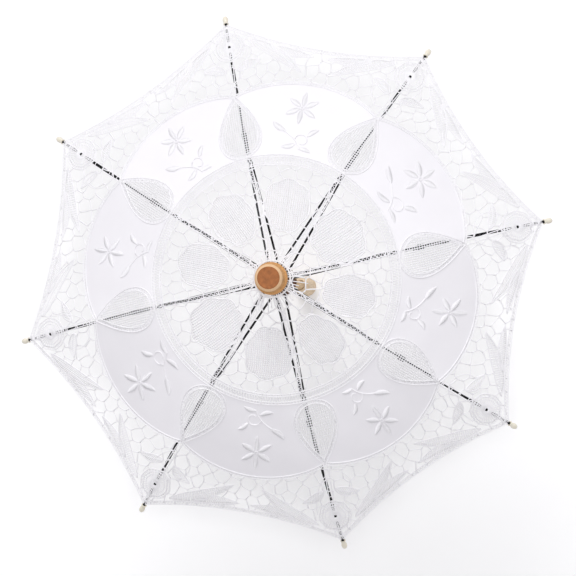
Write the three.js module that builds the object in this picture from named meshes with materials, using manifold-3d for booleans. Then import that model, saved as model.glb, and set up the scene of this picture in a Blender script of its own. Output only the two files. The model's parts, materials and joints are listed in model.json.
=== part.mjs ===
// Small lace parasol, open, with its shaft upright.
// Millimetres, +Z up along the shaft, origin at the centre of the handle's flat lower end.
// Eight curved ribs hinge on a slotted notch at the top of the shaft. A stretcher hinges under
// each rib and meets the runner, which slides on the shaft to fold and open the canopy.
import * as THREE from 'three';
import { mergeVertices } from 'three/addons/utils/BufferGeometryUtils.js';
import Module from 'manifold-3d';

const wasm = await Module();
wasm.setup();

// ---- Driving dimensions -------------------------------------------------------------------
const TOTAL_HEIGHT = 400;
const TIP_RADIUS = 240; // from the shaft's axis to the outer end of a rib tip
const RIB_COUNT = 8;
const GAP = 0.35; // clearance between pieces that meet
const DEGREE = Math.PI / 180;
const SECTOR = (2 * Math.PI) / RIB_COUNT;

// Shaft, notch and runner
const SHAFT_RADIUS = 4;
const HANDLE_TOP = 80;
const SHAFT_BOTTOM = HANDLE_TOP - 29.6;
const BORE_RADIUS = SHAFT_RADIUS + GAP;
const SLEEVE_RADIUS = 6.2;
const CROWN_RADIUS = 12.5;
const CROWN_BELOW = 2.6; // crown thickness below the pivots
const CROWN_ABOVE = 2.4; // and above them
const NOTCH_Z = 366; // height of the rib pivots
const NOTCH_SLEEVE = 16;
const RUNNER_BARREL = 40;
const RUNNER_GRIP_RADIUS = 7.8;
const RUNNER_GRIP_HEIGHT = 4;
const PIVOT_RADIUS = 9; // rib and stretcher pivots, from the shaft's axis
const WIRE_RADIUS = 0.5; // the wires that the ribs and the stretchers turn on
const EYE_RADIUS = 2.1;
const EYE_HOLE = WIRE_RADIUS + 0.4;
const BLADE = 1.4; // thickness of the flattened ends in the slots
const SLOT = BLADE + 2 * GAP;
const NOTCH_PIN_RADIUS = 0.7;
const NOTCH_PIN_DROP = 11; // below the rib pivots
const STOP_PIN_RADIUS = 0.8;
const PIN_OVERHANG = 2.2; // how far the pins stand out of the shaft

// Ribs: circular arcs of U-section steel
const RIB_ARC = 590;
const ROOT_SLOPE = 15 * DEGREE;
const RIB_WIDTH = 2.4;
const RIB_DEPTH = 2;
const RIB_WALL = 0.55;
const RIB_STEPS = 10;
const RIB_BLADE = 10; // flattened length at a rib's pivot
const RIB_BLADE_OVERLAP = 5.5; // how much of it runs inside the U-section
const JOINT_RADIUS = 124; // where the stretcher's joint sits on the rib
const JOINT_DROP = 3.8; // rivet below the rib's centre line
const BAND_LENGTH = 5.2;
const BAND_WALL = 0.5;
const EAR_THICKNESS = 1;
const EAR_RADIUS = 1.4;
const RIVET_RADIUS = 0.5;
const RIVET_HEAD = 1.2;
const FORK_THICKNESS = 0.7;
const FORK_RADIUS = 1.5;
const STRETCHER_WIDTH = 2.2;
const STRETCHER_DEPTH = 1.7;
const STRETCHER_WALL = 0.45;
const STRETCHER_BLADE = 12; // flattened length at its pivot
const STRETCHER_BLADE_OVERLAP = 6;
const PRONG_LENGTH = 5;
const PRONG_HALF = 1.1;
const BRIDGE_START = 2.6; // the fork's bridge, from the rivet
const BRIDGE_END = 5.6;
const CHANNEL_START = 5.2;
const TIP_LENGTH = 9.5;
const TIP_PIN_RADIUS = 0.75;
const TIP_PIN_LENGTH = 5.4;

// Canopy
const CLOTH_CORNER = 231; // where the cover is sewn to a rib tip
const CLOTH_CENTRE = 5.6; // hole in its middle, round the shaft
const CLOTH_THICKNESS = 0.8;
const CLOTH_LIFT = 3; // underside above the rib's centre line
const CENTRE_LIFT = 0.9; // extra height where the cover passes over the crown
const CENTRE_LIFT_FROM = 12;
const CENTRE_LIFT_TO = 48;
const HEM_HOLLOW = 9.6; // how far the hem curves in from the line between two tips
const GORE_TENSION = 0.8; // 1 pulls the cloth straight between ribs, 0 leaves a round dome
const CLOTH_RINGS = 8;
const CLOTH_COLUMNS = 3; // on each side of the rib

// Ferrule, handle and catch
const FERRULE_BASE = NOTCH_Z + 5.9;
const SHAFT_TOP = FERRULE_BASE + 15;
const CATCH_LENGTH = 22;
const CATCH_THICKNESS = 1.2;
const CATCH_INSIDE = 2.6; // inner edge of the spring, from the shaft's axis
const CATCH_OUTSIDE = 6.8;
const CATCH_NOSE = 3; // length of the spring that stands fully out

// ---- Materials ----------------------------------------------------------------------------
const finish = (color, roughness, metalness) =>
  new THREE.MeshStandardMaterial({ color, roughness, metalness });
const materials = {
  turnedWood: () => finish(0xb4713a, 0.45, 0),
  paleWood: () => finish(0xd8b98a, 0.55, 0),
  darkWood: () => finish(0x5a3a24, 0.5, 0),
  darkSteel: () => finish(0x2b2c30, 0.4, 0.8),
  brightSteel: () => finish(0xb9bbbf, 0.3, 1),
  creamPlastic: () => finish(0xe8e4d6, 0.35, 0),
  lace: () => finish(0xf4f3f8, 0.9, 0),
};

// ---- Solids -------------------------------------------------------------------------------
// One closed shell: shared corners merged, no zero triangles, faces outwards.
function closed(geometry) {
  const bare = geometry.clone();
  Object.keys(bare.attributes)
    .filter((name) => name !== 'position')
    .forEach((name) => bare.deleteAttribute(name));
  const merged = mergeVertices(bare, 1e-4);
  const position = merged.attributes.position;
  const corners = [];
  let volume = 0;
  const [a, b, c] = [new THREE.Vector3(), new THREE.Vector3(), new THREE.Vector3()];
  for (let i = 0; i < merged.index.count; i += 3) {
    const triangle = [0, 1, 2].map((k) => merged.index.getX(i + k));
    if (new Set(triangle).size < triangle.length) continue;
    [a, b, c].forEach((v, k) => v.fromBufferAttribute(position, triangle[k]));
    volume += a.dot(b.cross(c));
    corners.push(triangle);
  }
  merged.setIndex(corners.flatMap((t) => (volume < 0 ? t.toReversed() : t)));
  return merged;
}

function toManifold(geometry) {
  const shell = closed(geometry);
  return new wasm.Manifold(
    new wasm.Mesh({
      numProp: 3,
      vertProperties: Float32Array.from(shell.attributes.position.array),
      triVerts: Uint32Array.from(shell.index.array),
    }),
  );
}

function toGeometry(manifold) {
  const mesh = manifold.getMesh();
  const geometry = new THREE.BufferGeometry();
  geometry.setAttribute('position', new THREE.BufferAttribute(mesh.vertProperties, 3));
  geometry.setIndex(new THREE.BufferAttribute(mesh.triVerts, 1));
  return geometry;
}

const joined = (...parts) =>
  toGeometry(parts.map(toManifold).reduce((whole, part) => whole.add(part)));
const cut = (body, ...tools) =>
  toGeometry(tools.map(toManifold).reduce((left, tool) => left.subtract(tool), toManifold(body)));

// A box between two corners
function block([x0, y0, z0], [x1, y1, z1]) {
  const box = new THREE.BoxGeometry(x1 - x0, y1 - y0, z1 - z0);
  return box.translate((x0 + x1) / 2, (y0 + y1) / 2, (z0 + z1) / 2);
}

// A solid turned about Z, from an outline of [radius, z] points
function turned(outline, segments) {
  const points = outline.map(([radius, z]) => new THREE.Vector2(radius, z));
  return new THREE.LatheGeometry(points, segments).rotateX(Math.PI / 2);
}

// A ring about Z with a square-cornered section
const sleeve = (inner, outer, bottom, top, segments) =>
  turned([[inner, bottom], [outer, bottom], [outer, top], [inner, top], [inner, bottom]], segments);

// A rod along Y, centred on the XZ point
const crossRod = (radius, length, x, z, segments = 10) =>
  new THREE.CylinderGeometry(radius, radius, length, segments).translate(x, 0, z);

// A plate in the XZ plane with its thickness along Y
function plate(shape, thickness) {
  const flat = new THREE.ExtrudeGeometry(shape, { depth: thickness, bevelEnabled: false });
  return flat.rotateX(Math.PI / 2).translate(0, thickness / 2, 0);
}

// A flattened end: an eye at (x, z) with a bar running to x = barEnd
function eye(x, z, radius, hole, barEnd, barHalf, thickness, y = 0) {
  const bar = block([Math.min(x, barEnd), y - thickness / 2, z - barHalf],
    [Math.max(x, barEnd), y + thickness / 2, z + barHalf]);
  const disc = crossRod(radius, thickness, x, z, 12).translate(0, y, 0);
  return cut(joined(bar, disc), crossRod(hole, thickness + 1, x, z, 8).translate(0, y, 0));
}

// A U-section with its open side towards -Z when it is swept along +X
function channelShape(width, depth, wall) {
  const w = width / 2;
  const d = depth / 2;
  return new THREE.Shape([
    [-w, -d], [w, -d], [w, d], [w - wall, d],
    [w - wall, wall - d], [wall - w, wall - d], [wall - w, d], [-w, d],
  ].map(([x, y]) => new THREE.Vector2(x, y)));
}

const swept = (shape, path, steps) =>
  new THREE.ExtrudeGeometry(shape, { steps, bevelEnabled: false, extrudePath: path });

// ---- Rib arc ------------------------------------------------------------------------------
const slopeAt = (radius) => Math.asin(Math.sin(ROOT_SLOPE) + (radius - PIVOT_RADIUS) / RIB_ARC);
const ribHeight = (radius) =>
  NOTCH_Z - RIB_ARC * (Math.cos(ROOT_SLOPE) - Math.cos(slopeAt(radius)));

class RibArc extends THREE.Curve {
  constructor(from, to) {
    super();
    this.slopes = [slopeAt(from), slopeAt(to)];
  }

  getPoint(t, target = new THREE.Vector3()) {
    const slope = THREE.MathUtils.lerp(...this.slopes, t);
    const radius = PIVOT_RADIUS + RIB_ARC * (Math.sin(slope) - Math.sin(ROOT_SLOPE));
    return target.set(radius, 0, ribHeight(radius));
  }
}

// The linkage: notch pivot, joint rivet and runner pivot form an isosceles triangle.
const jointSlope = slopeAt(JOINT_RADIUS);
const rivet = {
  x: JOINT_RADIUS - JOINT_DROP * Math.sin(jointSlope),
  z: ribHeight(JOINT_RADIUS) - JOINT_DROP * Math.cos(jointSlope),
};
const linkLength = Math.hypot(rivet.x - PIVOT_RADIUS, NOTCH_Z - rivet.z);
const openAngle = Math.atan2(NOTCH_Z - rivet.z, rivet.x - PIVOT_RADIUS);
const RUNNER_Z = NOTCH_Z - 2 * (NOTCH_Z - rivet.z);
const STOP_PIN_Z = RUNNER_Z + CROWN_ABOVE + GAP + STOP_PIN_RADIUS;
const CATCH_TOP = RUNNER_Z - RUNNER_BARREL - GAP;

// ---- Pieces on the shaft ------------------------------------------------------------------
function makeShaft() {
  const rod = turned([[0, SHAFT_BOTTOM], [SHAFT_RADIUS, SHAFT_BOTTOM],
    [SHAFT_RADIUS, SHAFT_TOP], [0, SHAFT_TOP]], 24);
  const pocket = block(
    [CATCH_INSIDE - GAP, -CATCH_THICKNESS / 2 - GAP, CATCH_TOP - CATCH_LENGTH - GAP],
    [SHAFT_RADIUS + 1, CATCH_THICKNESS / 2 + GAP, CATCH_TOP + GAP],
  ).rotateZ(SECTOR / 2);
  const hole = 3 * SHAFT_RADIUS;
  return cut(rod, pocket,
    crossRod(STOP_PIN_RADIUS + GAP, hole, 0, STOP_PIN_Z),
    crossRod(NOTCH_PIN_RADIUS + GAP, hole, 0, NOTCH_Z - NOTCH_PIN_DROP));
}

// Slots for the flattened ends, and a groove for the wire that they turn on
function crownCuts(z) {
  const slots = Array.from({ length: RIB_COUNT }, (_, i) =>
    block([SLEEVE_RADIUS + 0.2, -SLOT / 2, z - CROWN_BELOW - 1],
      [CROWN_RADIUS + 1, SLOT / 2, z + CROWN_ABOVE + 1]).rotateZ(i * SECTOR));
  const half = WIRE_RADIUS + 0.4;
  const groove = sleeve(PIVOT_RADIUS - half, PIVOT_RADIUS + half, z - half, z + CROWN_ABOVE + 1, 32);
  return [...slots, groove];
}

function makeNotch() {
  const bottom = NOTCH_Z - NOTCH_SLEEVE;
  const crown = NOTCH_Z - CROWN_BELOW;
  const body = turned([
    [BORE_RADIUS, bottom], [SLEEVE_RADIUS, bottom], [SLEEVE_RADIUS, crown], [CROWN_RADIUS, crown],
    [CROWN_RADIUS, NOTCH_Z + CROWN_ABOVE], [BORE_RADIUS, NOTCH_Z + CROWN_ABOVE],
    [BORE_RADIUS, bottom],
  ], 32);
  const pinHole = crossRod(NOTCH_PIN_RADIUS + GAP, 4 * SLEEVE_RADIUS, 0, NOTCH_Z - NOTCH_PIN_DROP);
  return cut(body, pinHole, ...crownCuts(NOTCH_Z));
}

function makeRunner() {
  const bottom = RUNNER_Z - RUNNER_BARREL;
  const crown = RUNNER_Z - CROWN_BELOW;
  const grip = bottom + RUNNER_GRIP_HEIGHT;
  const body = turned([
    [BORE_RADIUS, bottom], [RUNNER_GRIP_RADIUS, bottom], [RUNNER_GRIP_RADIUS, grip],
    [SLEEVE_RADIUS, grip], [SLEEVE_RADIUS, crown], [CROWN_RADIUS, crown],
    [CROWN_RADIUS, RUNNER_Z + CROWN_ABOVE], [BORE_RADIUS, RUNNER_Z + CROWN_ABOVE],
    [BORE_RADIUS, bottom],
  ], 32);
  return cut(body, ...crownCuts(RUNNER_Z));
}

const makeWire = (z) =>
  new THREE.TorusGeometry(PIVOT_RADIUS, WIRE_RADIUS, 5, 32).translate(0, 0, z);

const makePin = (radius, z) =>
  crossRod(radius, 2 * (SHAFT_RADIUS + PIN_OVERHANG), 0, z);

function makeCatch() {
  const shape = new THREE.Shape([
    [CATCH_INSIDE, CATCH_TOP], [CATCH_INSIDE, CATCH_TOP - CATCH_LENGTH],
    [CATCH_INSIDE + 1, CATCH_TOP - CATCH_LENGTH],
    [CATCH_OUTSIDE, CATCH_TOP - CATCH_NOSE], [CATCH_OUTSIDE, CATCH_TOP],
  ].map(([x, z]) => new THREE.Vector2(x, z)));
  return plate(shape, CATCH_THICKNESS).rotateZ(SECTOR / 2);
}

// A stepped cap with a waist and a flat end, bored to sit on the shaft
function makeFerrule() {
  const top = TOTAL_HEIGHT;
  const base = FERRULE_BASE;
  const waist = new THREE.QuadraticBezierCurve(
    new THREE.Vector2(11.8, base + 7), new THREE.Vector2(8.6, base + 13), new THREE.Vector2(11, top - 5),
  );
  return turned([
    [0, SHAFT_TOP + GAP], [BORE_RADIUS, SHAFT_TOP + GAP], [BORE_RADIUS, base], [12.6, base],
    [13.6, base + 1], [13.6, base + 4.5], [12.6, base + 5.5], [11.8, base + 5.5],
    ...waist.getPoints(4).map((p) => [p.x, p.y]),
    [11.2, top - 3], [9.8, top], [0, top],
  ], 24);
}

// A straight turned grip: flat end, swelling, collar
function makeHandle() {
  const grip = new THREE.SplineCurve([
    [8.4, 0.8], [9.9, 7], [9, 14], [7.3, 20], [8.6, 30], [9, 42],
    [7.4, HANDLE_TOP - 21], [6.3, HANDLE_TOP - 12],
  ].map(([radius, z]) => new THREE.Vector2(radius, z)));
  return turned([
    [0, 0], [7.6, 0], ...grip.getPoints(11).map((p) => [p.x, p.y]),
    [7.6, HANDLE_TOP - 11], [8, HANDLE_TOP - 9], [7.6, HANDLE_TOP - 7], [6.4, HANDLE_TOP - 6],
    [5.6, HANDLE_TOP], [BORE_RADIUS, HANDLE_TOP],
    [BORE_RADIUS, SHAFT_BOTTOM - GAP], [0, SHAFT_BOTTOM - GAP],
  ], 20);
}

// ---- Pieces of one rib, in the plane y = 0 with the rib running out along +X ----------------
const tipStart = TIP_RADIUS - (TIP_LENGTH + GAP) * Math.cos(slopeAt(TIP_RADIUS - TIP_LENGTH));
const tipSlope = slopeAt(tipStart);

// Moves a solid made along +X at the origin to a rib point, tilted with the slope there
const onRib = (solid, radius, slope) =>
  solid.rotateY(slope).translate(radius, 0, ribHeight(radius));

function makeRib() {
  const start = PIVOT_RADIUS + RIB_BLADE - RIB_BLADE_OVERLAP;
  const channel = swept(channelShape(RIB_WIDTH, RIB_DEPTH, RIB_WALL),
    new RibArc(start, tipStart), RIB_STEPS);
  const root = eye(0, 0, EYE_RADIUS, EYE_HOLE, RIB_BLADE, RIB_DEPTH / 2 - 0.1, BLADE)
    .rotateY(ROOT_SLOPE + 0.5 * DEGREE).translate(PIVOT_RADIUS, 0, NOTCH_Z);
  const pin = new THREE.CylinderGeometry(TIP_PIN_RADIUS, TIP_PIN_RADIUS, TIP_PIN_LENGTH + 2, 6)
    .rotateZ(Math.PI / 2).translate(TIP_PIN_LENGTH / 2 - 1, 0, 0);
  return joined(channel, root, onRib(pin, tipStart, tipSlope));
}

// A rounded bead with a neck where the cover is sewn on, bored for the rib's pin
function makeTip() {
  const bore = TIP_PIN_RADIUS + GAP;
  const outline = turned([
    [bore, 0], [2.3, 0.2], [2.3, 0.9], [1.7, 2.2], [2.4, 3.8], [2.6, 6], [1.8, 8.8],
    [0, TIP_LENGTH], [0, TIP_PIN_LENGTH + GAP], [bore, TIP_PIN_LENGTH + GAP], [bore, 0],
  ], 10).rotateY(Math.PI / 2).translate(GAP, 0, 0);
  return onRib(outline, tipStart, tipSlope);
}

// A band round the rib with an ear below it
function makeJoint() {
  const inner = [RIB_WIDTH / 2 + GAP, RIB_DEPTH / 2 + GAP];
  const outer = inner.map((half) => half + BAND_WALL);
  const half = BAND_LENGTH / 2;
  const band = block([-half, -outer[0], -outer[1]], [half, outer[0], outer[1]]);
  const passage = block([-half - 1, -inner[0], -inner[1]], [half + 1, inner[0], inner[1]]);
  const ear = joined(
    crossRod(EAR_RADIUS, EAR_THICKNESS, 0, -JOINT_DROP, 12),
    block([-EAR_RADIUS, -EAR_THICKNESS / 2, -JOINT_DROP], [EAR_RADIUS, EAR_THICKNESS / 2, -inner[1] - 0.1]),
  );
  const hole = crossRod(RIVET_RADIUS + GAP, 3, 0, -JOINT_DROP, 8);
  return onRib(cut(joined(cut(band, passage), ear), hole), JOINT_RADIUS, jointSlope);
}

function makeRivet() {
  const shank = EAR_THICKNESS / 2 + FORK_THICKNESS + 2 * GAP;
  const head = shank + 0.5;
  return turned([
    [0, -head], [RIVET_HEAD, -head], [RIVET_HEAD, -shank], [RIVET_RADIUS, -shank],
    [RIVET_RADIUS, shank], [RIVET_HEAD, shank], [RIVET_HEAD, head], [0, head],
  ], 8).rotateX(Math.PI / 2).translate(rivet.x, 0, rivet.z);
}

// A straight channel with a fork round the ear and a flattened end in the runner's slot.
// It is made along +X from the rivet, then turned to point at the runner's pivot.
function makeStretcher() {
  const prongY = EAR_THICKNESS / 2 + GAP + FORK_THICKNESS / 2;
  const prong = (y) =>
    eye(0, 0, FORK_RADIUS, RIVET_RADIUS + GAP, PRONG_LENGTH, PRONG_HALF, FORK_THICKNESS, y);
  const width = prongY + FORK_THICKNESS / 2;
  const bridge = block([BRIDGE_START, -width, -PRONG_HALF], [BRIDGE_END, width, PRONG_HALF]);
  const channelEnd = linkLength - STRETCHER_BLADE + STRETCHER_BLADE_OVERLAP;
  const path = new THREE.LineCurve3(
    new THREE.Vector3(CHANNEL_START, 0, 0), new THREE.Vector3(channelEnd, 0, 0),
  );
  const channel = swept(channelShape(STRETCHER_WIDTH, STRETCHER_DEPTH, STRETCHER_WALL), path, 1);
  const end = eye(linkLength, 0, EYE_RADIUS, EYE_HOLE, linkLength - STRETCHER_BLADE,
    STRETCHER_DEPTH / 2 - 0.1, BLADE);
  return joined(prong(-prongY), prong(prongY), bridge, channel, end)
    .rotateY(Math.PI - openAngle).translate(rivet.x, 0, rivet.z);
}

// ---- Canopy -------------------------------------------------------------------------------
const smoothstep = THREE.MathUtils.smoothstep;

// Height of the cover's underside at a radius and an angle from the nearest rib
function clothHeight(radius, angle) {
  const straight = Math.cos(SECTOR / 2 - Math.abs(angle)) / Math.cos(SECTOR / 2);
  const along = radius * (1 + GORE_TENSION * (straight - 1));
  const lift = CLOTH_LIFT + CENTRE_LIFT * (1 - smoothstep(radius, CENTRE_LIFT_FROM, CENTRE_LIFT_TO));
  return ribHeight(along) + lift;
}

// Where the hem lies, from u = 1 at a rib to u = 0 half-way to the next one
function hemPoint(u) {
  const across = u * CLOTH_CORNER * Math.sin(SECTOR / 2);
  const out = CLOTH_CORNER * Math.cos(SECTOR / 2) - HEM_HOLLOW * (1 - u * u);
  return { radius: Math.hypot(across, out), angle: SECTOR / 2 - Math.atan2(across, out) };
}

// The cover from half-way before a rib to half-way after it
function makeCloth() {
  const columns = [];
  for (let j = -CLOTH_COLUMNS; j <= CLOTH_COLUMNS; j += 1) {
    const hem = hemPoint(1 - Math.abs(j) / CLOTH_COLUMNS);
    columns.push({ radius: hem.radius, angle: hem.angle * Math.sign(j), edge: Math.abs(j) === CLOTH_COLUMNS });
  }
  const positions = [];
  columns.forEach(({ radius: hemRadius, angle, edge }) => {
    for (let i = 0; i <= CLOTH_RINGS; i += 1) {
      const radius = THREE.MathUtils.lerp(CLOTH_CENTRE, hemRadius, i / CLOTH_RINGS);
      // the edges between neighbouring sectors stay half a gap short of each other
      const turn = edge ? angle - (Math.sign(angle) * GAP) / 2 / radius : angle;
      const z = clothHeight(radius, angle);
      [z, z + CLOTH_THICKNESS].forEach((height) =>
        positions.push(radius * Math.cos(turn), radius * Math.sin(turn), height));
    }
  });
  const corner = (j, i, side) => 2 * (j * (CLOTH_RINGS + 1) + i) + side;
  const faces = [];
  const quad = (a, b, c, d) => faces.push(a, b, c, a, c, d);
  for (let j = 0; j < columns.length - 1; j += 1) {
    for (let i = 0; i < CLOTH_RINGS; i += 1) {
      quad(corner(j, i, 1), corner(j, i + 1, 1), corner(j + 1, i + 1, 1), corner(j + 1, i, 1));
      quad(corner(j, i, 0), corner(j + 1, i, 0), corner(j + 1, i + 1, 0), corner(j, i + 1, 0));
    }
    const end = CLOTH_RINGS;
    quad(corner(j, 0, 0), corner(j, 0, 1), corner(j + 1, 0, 1), corner(j + 1, 0, 0));
    quad(corner(j, end, 0), corner(j + 1, end, 0), corner(j + 1, end, 1), corner(j, end, 1));
  }
  const last = columns.length - 1;
  for (let i = 0; i < CLOTH_RINGS; i += 1) {
    quad(corner(0, i, 0), corner(0, i + 1, 0), corner(0, i + 1, 1), corner(0, i, 1));
    quad(corner(last, i, 0), corner(last, i, 1), corner(last, i + 1, 1), corner(last, i + 1, 0));
  }
  const geometry = new THREE.BufferGeometry();
  geometry.setAttribute('position', new THREE.Float32BufferAttribute(positions, 3));
  geometry.setIndex(faces);
  return geometry;
}

// ---- Assembly -----------------------------------------------------------------------------
const parasol = new THREE.Group();

function place(parent, name, geometry, material) {
  const mesh = new THREE.Mesh(closed(geometry), material);
  mesh.name = name;
  parent.add(mesh);
}

place(parasol, 'shaft', makeShaft(), materials.paleWood());
place(parasol, 'handle', makeHandle(), materials.turnedWood());
place(parasol, 'ferrule', makeFerrule(), materials.turnedWood());
place(parasol, 'notch', makeNotch(), materials.darkWood());
place(parasol, 'notch_wire', makeWire(NOTCH_Z), materials.brightSteel());
place(parasol, 'notch_pin', makePin(NOTCH_PIN_RADIUS, NOTCH_Z - NOTCH_PIN_DROP), materials.brightSteel());
place(parasol, 'stop_pin', makePin(STOP_PIN_RADIUS, STOP_PIN_Z), materials.brightSteel());
place(parasol, 'catch_spring', makeCatch(), materials.brightSteel());
place(parasol, 'runner', makeRunner(), materials.darkWood());
place(parasol, 'runner_wire', makeWire(RUNNER_Z), materials.brightSteel());

const ribPieces = [
  ['rib', makeRib(), materials.darkSteel],
  ['rib_tip', makeTip(), materials.creamPlastic],
  ['rib_joint', makeJoint(), materials.darkSteel],
  ['joint_rivet', makeRivet(), materials.brightSteel],
  ['stretcher', makeStretcher(), materials.darkSteel],
  ['canopy', makeCloth(), materials.lace],
];
for (let i = 0; i < RIB_COUNT; i += 1) {
  const spoke = new THREE.Group();
  spoke.rotation.z = i * SECTOR;
  ribPieces.forEach(([name, geometry, material]) =>
    place(spoke, `${name}_${i + 1}`, geometry, material()));
  parasol.add(spoke);
}

export default parasol;
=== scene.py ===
import json
import math
import random

import bpy
import numpy as np
from mathutils import Matrix, Vector, geometry


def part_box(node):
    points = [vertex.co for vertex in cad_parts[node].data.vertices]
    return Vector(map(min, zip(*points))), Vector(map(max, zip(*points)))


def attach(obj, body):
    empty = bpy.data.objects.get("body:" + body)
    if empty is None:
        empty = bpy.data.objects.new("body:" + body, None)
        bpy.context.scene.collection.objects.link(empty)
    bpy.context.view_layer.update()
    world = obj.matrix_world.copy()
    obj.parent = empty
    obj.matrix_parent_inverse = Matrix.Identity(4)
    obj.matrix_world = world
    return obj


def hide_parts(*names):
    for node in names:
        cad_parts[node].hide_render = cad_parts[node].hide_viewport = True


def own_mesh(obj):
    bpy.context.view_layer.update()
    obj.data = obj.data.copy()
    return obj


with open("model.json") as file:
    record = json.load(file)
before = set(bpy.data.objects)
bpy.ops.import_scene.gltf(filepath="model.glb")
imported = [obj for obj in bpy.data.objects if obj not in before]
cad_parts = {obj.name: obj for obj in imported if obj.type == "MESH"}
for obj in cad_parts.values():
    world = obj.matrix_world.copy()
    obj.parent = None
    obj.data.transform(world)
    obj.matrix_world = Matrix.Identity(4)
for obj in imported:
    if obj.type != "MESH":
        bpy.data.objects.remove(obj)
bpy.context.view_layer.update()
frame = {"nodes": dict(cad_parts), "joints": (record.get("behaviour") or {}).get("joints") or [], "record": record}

MM = 0.001
RIBS = 8
TURN = 2 * math.pi / RIBS
rng = random.Random(7)

# ---- What the frame says ------------------------------------------------------------------
joint = {j["name"]: j for j in frame["joints"]}
PIVOT_RADIUS = joint["rib_1_fold"]["pos_m"][0] / MM
NOTCH_Z = joint["rib_1_fold"]["pos_m"][2] / MM
HANDLE_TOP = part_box("handle")[1].z / MM
FERRULE = [v / MM for v in (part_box("ferrule")[0].z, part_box("ferrule")[1].z)]
TIP_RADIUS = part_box("rib_tip_1")[1].x / MM

# The rib's arc and the cover on it, as the CAD model lays them
RIB_ARC = 590.0
ROOT_SLOPE = math.radians(15)
CLOTH_CORNER = 231.0
CLOTH_THICKNESS = 0.8
CLOTH_LIFT = 3.0
CENTRE_LIFT = 0.9
CENTRE_LIFT_FROM = 12.0
CENTRE_LIFT_TO = 48.0
HEM_HOLLOW = 9.6
GORE_TENSION = 0.8

# ---- Pattern of the cover, in millimetres ---------------------------------------------------
COVER_DRIFT = (-8, 4, 4, 0, -3, 5, 6, -2)   # how far the motifs sit off each rib, round the shaft
DRIFT_FROM, DRIFT_TO = 25.0, 200.0
CENTRE_SHIFT = (2.7, -1.2)                   # and how far the middle of the cover sits off the shaft
NET_FROM = 15.0
RING_IN, RING_OUT = 97.6, 104.4
SCALLOP_AT_RIB, SCALLOP_BULGE = 160.5, 10.0
PETAL_AT, PETAL_LONG, PETAL_WIDE = 62.0, 22.0, 21.0
DROP_AT, DROP_LONG, DROP_WIDE = 133.5, 26.5, 22.5
FAN_AT, FAN_RADIUS = 208.0, 12.0
HEM_INSET = 2.2
TIED_FROM = 218.0                            # the cover is sewn to the rib from here to its corner
TIE_PITCH = 1.15
LOOSE_TIE_PITCH = 8.3                        # and held by single stitches between the batiste and there
CELL = 11.6                                  # spacing of the net's cells
CELL_ROW = 0.87                              # spacing of its rows, as a share of CELL
CELL_JITTER = 3.0
EDGE_FROM = 0.4                              # shorter sides of a cell are left out
EDGE_STEP = 1.5
NET_BOW = 0.6                                # how far a thread of the net bows sideways
GATHERS = 40                                 # loose ends sewn down round the shaft
GATHER_FROM = 7.5
SHIFT_RISE, SHIFT_FALL = (12, 30), (70, 98)  # radii between which the middle's shift grows and fades
RIPPLE = 0.3
BATISTE_LIFT = -0.1
STEP = 2.4                                   # longest straight run of a thread
SHORTEST = 0.15                              # shorter threads are left out
SAME_POINT = 1e-4
HATCH_STEP, HATCH_JITTER = 0.5, 0.12
PETAL_PITCH, DROP_PITCH, LEAF_PITCH = 1.75, 1.9, 1.5
FAN_SPOKES = 32
FAN_ROUNDS = (0.35, 0.7)                     # sizes of the rounds inside a fan
TAPE_STEP, CURL_STEP = 1.6, 1.5

# Leaves of one half panel, as (start, end, width, bow), in the frame of a panel's middle; the
# other half mirrors them
LONG_LEAVES = (((203, 66), (180, 12), 9.5, 3.0), ((200.5, 45), (196, 5), 7.0, -1.5))
SHORT_LEAF = ((172.5, 66), (186, 50), 7.5, 1.5)
LEAF_SLANT = 1.15

# The flower and the sprig embroidered on a scallop, in the same frame
FLOWER_AT = (148.0, 1.5)
FLOWER_PETALS = 6
FLOWER_FROM, FLOWER_TO, FLOWER_PETAL = 2.4, 14.5, 4.4
STEM = ((111, -4), (121, -0.5), (126, 12))
CURL_AT = (118.8, -5.0)
CURL_TURN = (1.4, -3.9)
CURL_RADIUS = (6.6, 2.4)
SPRIG_LEAVES = (((126, 11), (133, 23), 4.6), ((115, 0), (112, 11), 4.0),
                ((123.5, -9), (130, -17), 4.0), ((112, -4), (109.5, -14), 3.4))
SPRIG_BOW = 0.8

# ---- Threads: width, depth and lift off the cloth, in millimetres ---------------------------
NET_THREAD = (1.15, 0.8, 0.0)
GATHER_THREAD = (0.8, 0.7, 0.1)
TIE_THREAD = (0.8, 0.7, 0.3)
RIB_CORD = (0.9, 0.8, 0.1)
NECK_CORD = (1.6, 1.0, 0.2)
MOTIF_CORD = (1.3, 1.0, 0.2)
DROP_CORD = (0.8, 0.7, 0.2)
PETAL_DARN, DROP_DARN = 0.95, 0.85           # widths; the crossing threads lie under and over
DARN_DEPTH, DARN_LIFT = 0.5, 0.12
FAN_SPOKE = (0.9, 0.6, 0.1)
FAN_RING = (0.8, 0.6, 0.2)
LEAF_FILL = (1.0, 0.6, 0.1)
LEAF_VEIN = (0.9, 0.8, 0.3)
SATIN_STITCH = (0.9, 0.6, 0.22)
KNOT_THREAD = (0.9, 0.9, 0.5)
STEM_THREAD = (1.0, 0.8, 0.3)
CURL_THREAD = (0.9, 0.8, 0.3)
TAPE_DEPTH, TAPE_LIFT = 0.9, 0.25
ZIGZAG_WIDTH, ZIGZAG_DEPTH = 0.7, 0.5

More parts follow.
